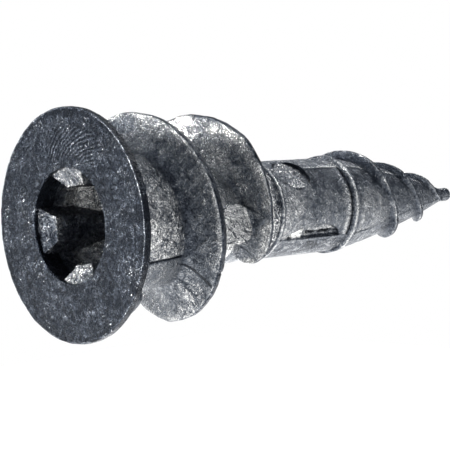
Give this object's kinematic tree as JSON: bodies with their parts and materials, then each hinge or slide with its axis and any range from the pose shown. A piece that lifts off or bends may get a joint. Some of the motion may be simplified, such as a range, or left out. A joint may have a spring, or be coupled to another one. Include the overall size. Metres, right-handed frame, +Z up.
{
  "type": "wall anchor",
  "caption": "Self-drilling die-cast zinc wall anchor: thin round head with a cross-slot driver socket, wide coarse wall thread, hollow tapering barrel, and a cone tip with a fine double thread.",
  "frame": {"origin": "centre of the head's front face, which is the mouth of the driver socket", "axes": "+Y along the anchor's axis, from the head into the wall towards the drill point; +Z up; +X to the right seen from the head"},
  "size_m": [0.0125, 0.032, 0.0124],
  "materials": {
    "cast_zinc": "dark mottled as-cast zinc"
  },
  "bodies": {
    "root": {"head_flange": "cast_zinc", "front_barrel": "cast_zinc", "rear_barrel": "cast_zinc", "coarse_thread": "cast_zinc", "drive_land_top": "cast_zinc", "drive_land_right": "cast_zinc", "drive_land_bottom": "cast_zinc", "drive_land_left": "cast_zinc", "shank": "cast_zinc", "front_ring": "cast_zinc", "rear_ring": "cast_zinc", "tip_core": "cast_zinc", "drill_point": "cast_zinc", "tip_thread_a": "cast_zinc", "tip_thread_b": "cast_zinc"}
  },
  "joints": []
}
